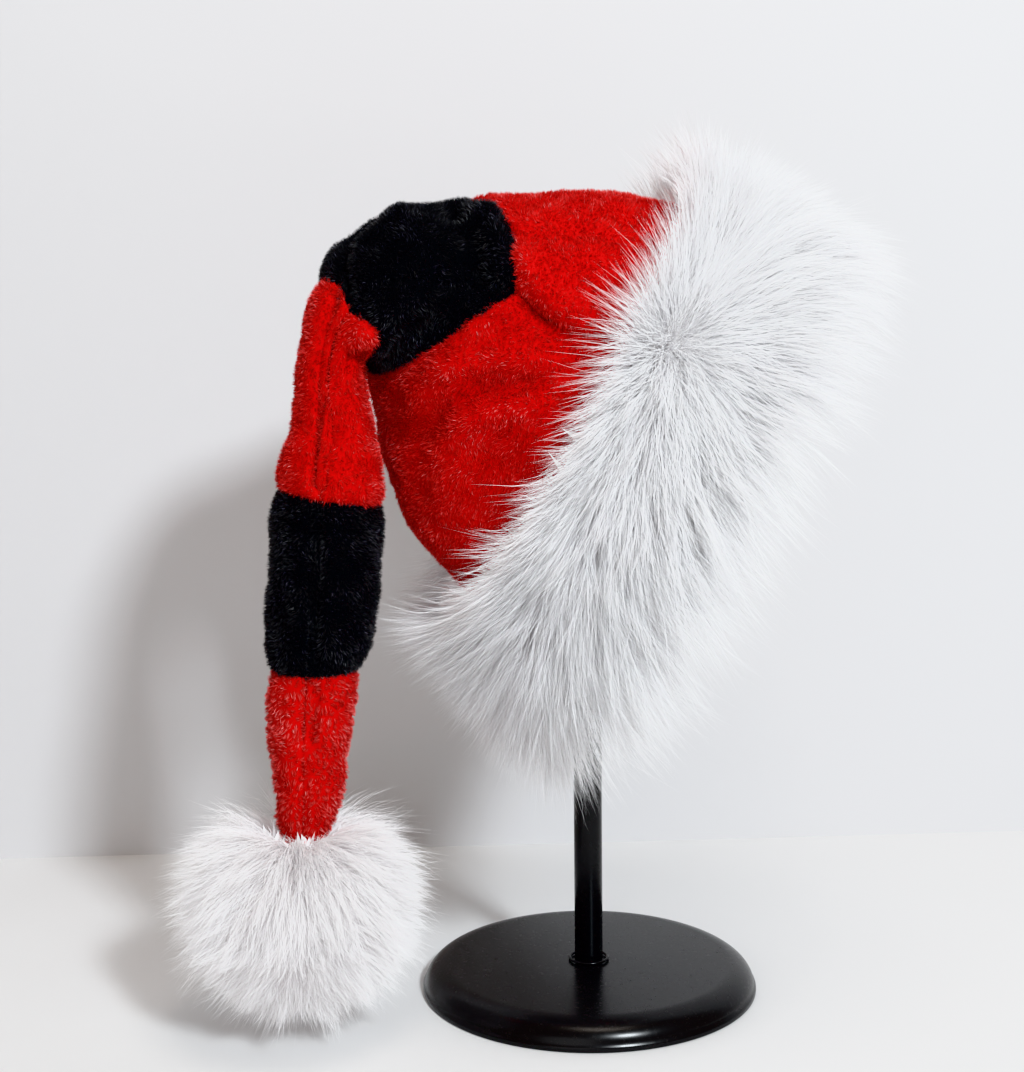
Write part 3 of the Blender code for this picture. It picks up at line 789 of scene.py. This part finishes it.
def pile(zone, pieces, middle, material, seed):
    """Short pile standing on the plush, brushed a little down and into swirls."""
    random = np.random.default_rng(seed)
    roots, outs = scatter(pieces, PILE_PER_AREA, seed)
    brushed = wave_vectors(roots, 0.014, seed + 3) * 0.60 + np.array((0, 0, -0.40))
    brushed -= outs * (brushed * outs).sum(axis=1, keepdims=True)
    ways = unit(outs + brushed + random.normal(size=outs.shape) * 0.25)
    lengths = PILE_LENGTH * random.uniform(0.6, 1.1, len(roots))
    paths = np.stack([roots - outs * 0.4 * MM, roots + ways * lengths[:, None]], axis=1)
    per_tuft, pull = PILE_CURLS.get(zone, PILE_PLAIN)
    tuft, heads = gather(roots, per_tuft, seed + 7)
    paths[:, 1] += pull * (paths[heads, 1][tuft] - paths[:, 1])
    widths = np.full((len(roots), 2), PILE_WIDTH) * random.uniform(0.6, 1.2, (len(roots), 1))
    flats = unit(random.normal(size=outs.shape) + 0.5 * outs)
    patches = 0.5 * waves(roots, 0.018, seed + 11) + 0.3 * waves(roots, 0.005, seed + 13)
    # Painted highlight on the fold ridges and painted shade in the fold hollows; the brightest
    # tones take the painted glint.
    fold_highlight_and_shade = -fold_depth(zone, roots, middle) / MM
    tones = 0.42 + 0.20 * patches + 0.09 * fold_highlight_and_shade + 0.28 * random.normal(size=len(roots))
    tones = np.clip(tones, 0, 1)
    return strands(f"{zone}_pile", paths, widths, flats, tones, material)


# Stand

def base_plate(material):
    """The round base: a flat plate with a thin lip, a convex rim and a flat top."""
    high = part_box("stand_base")[1]
    radius, tall = high.x, high.z
    deselect()
    bpy.ops.mesh.primitive_circle_add(
        vertices=PLATE_SIDES, radius=radius, fill_type="NGON", location=(0, 0, 0))
    piece = bpy.context.object
    bpy.ops.object.mode_set(mode="EDIT")
    bpy.ops.mesh.select_all(action="SELECT")
    bpy.ops.mesh.extrude_region_move(TRANSFORM_OT_translate={"value": (0, 0, PLATE_LIP)})
    rim = radius - PLATE_FLAT
    at = radius
    level = PLATE_LIP
    for i in range(1, PLATE_STEPS + 1):
        angle = math.radians(90 * (1 - i / PLATE_STEPS))
        reach = PLATE_FLAT + rim * 0.94 * math.sin(angle)
        height = PLATE_LIP + (tall - PLATE_LIP) * math.cos(angle)
        bpy.ops.mesh.extrude_region_move(TRANSFORM_OT_translate={"value": (0, 0, height - level)})
        bpy.ops.transform.resize(value=(reach / at, reach / at, 1), center_override=(0, 0, 0))
        at, level = reach, height
    bpy.ops.mesh.select_all(action="SELECT")
    bpy.ops.mesh.normals_make_consistent(inside=False)
    bpy.ops.object.mode_set(mode="OBJECT")
    piece.name = piece.data.name = "stand_base_plate"
    bevel = piece.modifiers.new("Edges", "BEVEL")
    bevel.width = 0.0006
    bevel.segments = 3
    bevel.limit_method = "ANGLE"
    bevel.angle_limit = math.radians(35)
    apply_modifiers(piece)
    piece.data.materials.append(material)
    bpy.ops.object.shade_smooth_by_angle(angle=math.radians(40))
    return piece


def post_tube(material):
    low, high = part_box("stand_post")
    deselect()
    bpy.ops.mesh.primitive_cylinder_add(
        vertices=64, radius=high.x, depth=high.z - low.z, location=(0, 0, (low.z + high.z) / 2))
    piece = bpy.context.object
    bpy.ops.object.transform_apply(location=True, rotation=False, scale=False)
    piece.name = piece.data.name = "stand_post_tube"
    bevel = piece.modifiers.new("Edges", "BEVEL")
    bevel.width = 0.0004
    bevel.segments = 2
    bevel.limit_method = "ANGLE"
    apply_modifiers(piece)
    piece.data.materials.append(material)
    bpy.ops.object.shade_smooth_by_angle(angle=math.radians(40))
    return piece


def collar_ring(material):
    low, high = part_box("stand_collar")
    wire = (high.z - low.z) / 2
    deselect()
    bpy.ops.mesh.primitive_torus_add(
        major_radius=high.x - wire, minor_radius=wire, major_segments=96, minor_segments=16,
        location=(0, 0, (low.z + high.z) / 2))
    piece = bpy.context.object
    bpy.ops.object.transform_apply(location=True, rotation=False, scale=False)
    piece.name = piece.data.name = "stand_collar_ring"
    piece.data.materials.append(material)
    piece.data.shade_smooth()
    return piece


# Stage

def stage_floor():
    material, nodes, links, shader = new_material("pale_floor")
    place = nodes.new("ShaderNodeTexCoord").outputs["Object"]
    tint = ramp_node(nodes, links, noise_node(nodes, links, place, 3, 3, 0.5), (
        (0.3, (0.82, 0.815, 0.81)), (0.7, (0.86, 0.855, 0.85))))
    links.new(tint, shader.inputs["Base Color"])
    set_value(shader, Roughness=0.6)
    deselect()
    bpy.ops.mesh.primitive_plane_add(size=STAGE_SIZE, location=(0, 0, -0.2 * MM))
    floor = bpy.context.object
    floor.name = "floor"
    floor.data.materials.append(material)


def stage_wall():
    """A pale backdrop that shows from the front only."""
    material, nodes, links, shader = new_material("pale_wall")
    set_value(shader, Roughness=0.9)
    shader.inputs["Base Color"].default_value = (0.700, 0.692, 0.700, 1)
    clear = nodes.new("ShaderNodeBsdfTransparent")
    pick = nodes.new("ShaderNodeMixShader")
    side = nodes.new("ShaderNodeNewGeometry")
    links.new(side.outputs["Backfacing"], pick.inputs[0])
    links.new(shader.outputs[0], pick.inputs[1])
    links.new(clear.outputs[0], pick.inputs[2])
    links.new(pick.outputs[0], nodes["Material Output"].inputs["Surface"])
    deselect()
    bpy.ops.mesh.primitive_plane_add(
        size=STAGE_SIZE, location=WALL_PLACE,
        rotation=(math.radians(90), 0, math.radians(WALL_TURN)))
    wall = bpy.context.object
    wall.name = "wall"
    wall.data.materials.append(material)


def area_light(name, place, target, size, power, colour):
    light = bpy.data.lights.new(name, "AREA")
    light.shape = "DISK"
    light.size = size
    light.energy = power
    light.color = colour
    lamp = bpy.data.objects.new(name, light)
    lamp.location = place
    lamp.rotation_euler = (Vector(target) - Vector(place)).to_track_quat("-Z", "Y").to_euler()
    bpy.context.scene.collection.objects.link(lamp)


def lights():
    world = bpy.data.worlds.new("soft_room")
    bpy.context.scene.world = world
    world.use_nodes = True
    world.node_tree.nodes["Background"].inputs["Color"].default_value = ROOM_COLOUR
    world.node_tree.nodes["Background"].inputs["Strength"].default_value = ROOM_LIGHT
    for row in LIGHTS:
        area_light(*row)
    bpy.context.scene.view_settings.view_transform = "Khronos PBR Neutral"


def camera_turn():
    return Euler((math.radians(90 - CAMERA_DOWN), 0, 0)).to_matrix() @ Matrix.Rotation(
        math.radians(CAMERA_ROLL), 3, "Z")


def camera():
    data = bpy.data.cameras.new("camera")
    data.sensor_fit = "AUTO"
    data.sensor_width = SENSOR
    data.lens = FOCAL_PIXELS * SENSOR / PHOTO_TALL
    data.clip_start = 0.01
    eye = bpy.data.objects.new("camera", data)
    eye.rotation_euler = camera_turn().to_euler()
    eye.location = CAMERA_PLACE
    bpy.context.scene.collection.objects.link(eye)
    bpy.context.scene.camera = eye


def settle(piece, slot, *nodes):
    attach(piece, "root")
    if nodes:
        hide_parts(*nodes)


def main():
    camera()
    lights()
    stage_floor()
    stage_wall()
    group = plush_group()
    looks = {
        "red": plush(
            "red_plush", group, (0.36, 0.0030, 0.0030), (0.60, 0.010, 0.009),
            0.15, (1.0, 0.25, 0.25)),
        "black": plush(
            "black_plush", group, (0.0010, 0.0010, 0.0012), (0.003, 0.003, 0.004),
            0.03, (0.6, 0.6, 0.7)),
        # Each pile is darker at the root as painted shade, and its last colour is its painted
        # glint.
        "red_nap": nap("red_pile", (0.40, 0.010, 0.009), (0.88, 0.056, 0.050), (1.06, 6.0, 6.5)),
        # Lighter and pinker than the red pile: painted highlight on the lower tail's curls.
        "curled_nap": nap(
            "red_curled_pile", (0.44, 0.020, 0.018), (0.94, 0.135, 0.125), (1.04, 3.8, 4.0)),
        "black_nap": nap(
            "black_pile", (0.0075, 0.0070, 0.0072), (0.0560, 0.0540, 0.0560), (3.4, 3.4, 4.0)),
        "fur": fur("white_fur", (0.88, 0.87, 0.88), (0.98, 0.98, 0.985)),
        # A copy of the white fur that glows, painted light for the pompom and the undercoat, with
        # its root greyer as painted shade.
        "glowing_fur": fur("soft_white_fur", (0.95, 0.93, 0.935), (0.99, 0.985, 0.985), 0.050),
        "paint": paint("black_paint"),
        "knit": knit("white_backing", (0.80, 0.78, 0.76)),
    }
    for number, (zone, colour) in enumerate(ZONES.items()):
        panels = [cloth_panel(f"{zone}_{side}_panel", looks[colour]) for side in ("outer", "inner")]
        middle = relax_cloth(panels)
        for piece, _ in panels:
            settle(piece, colour + "_plush", piece.name.replace("_plush", "_panel"))
            wide = math.sqrt(surface_area(piece) / 2)
        nap_look = looks["curled_nap" if zone in PILE_CURLS else colour + "_nap"]
        fibres = pile(zone, [piece for piece, _ in panels], middle, nap_look, 61 + 20 * number)
        settle(fibres, colour + "_plush")
    settle(undercoat(looks["glowing_fur"]), "white_fur")
    for piece in cuff_hair(looks["fur"]):
        settle(piece, "white_fur", "cuff_fur")
    settle(pompom_hair(looks["glowing_fur"]), "white_fur", "pompom")
    settle(pompom_wool(looks["glowing_fur"]), "white_fur")
    settle(base_plate(looks["paint"]), "black_paint", "stand_base")
    settle(post_tube(looks["paint"]), "black_paint", "stand_post")
    settle(collar_ring(looks["paint"]), "black_paint", "stand_collar")
    for node, look in (("cuff_band", "knit"), ("stand_head", "paint")):
        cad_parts[node].data.materials.clear()
        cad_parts[node].data.materials.append(looks[look])


main()
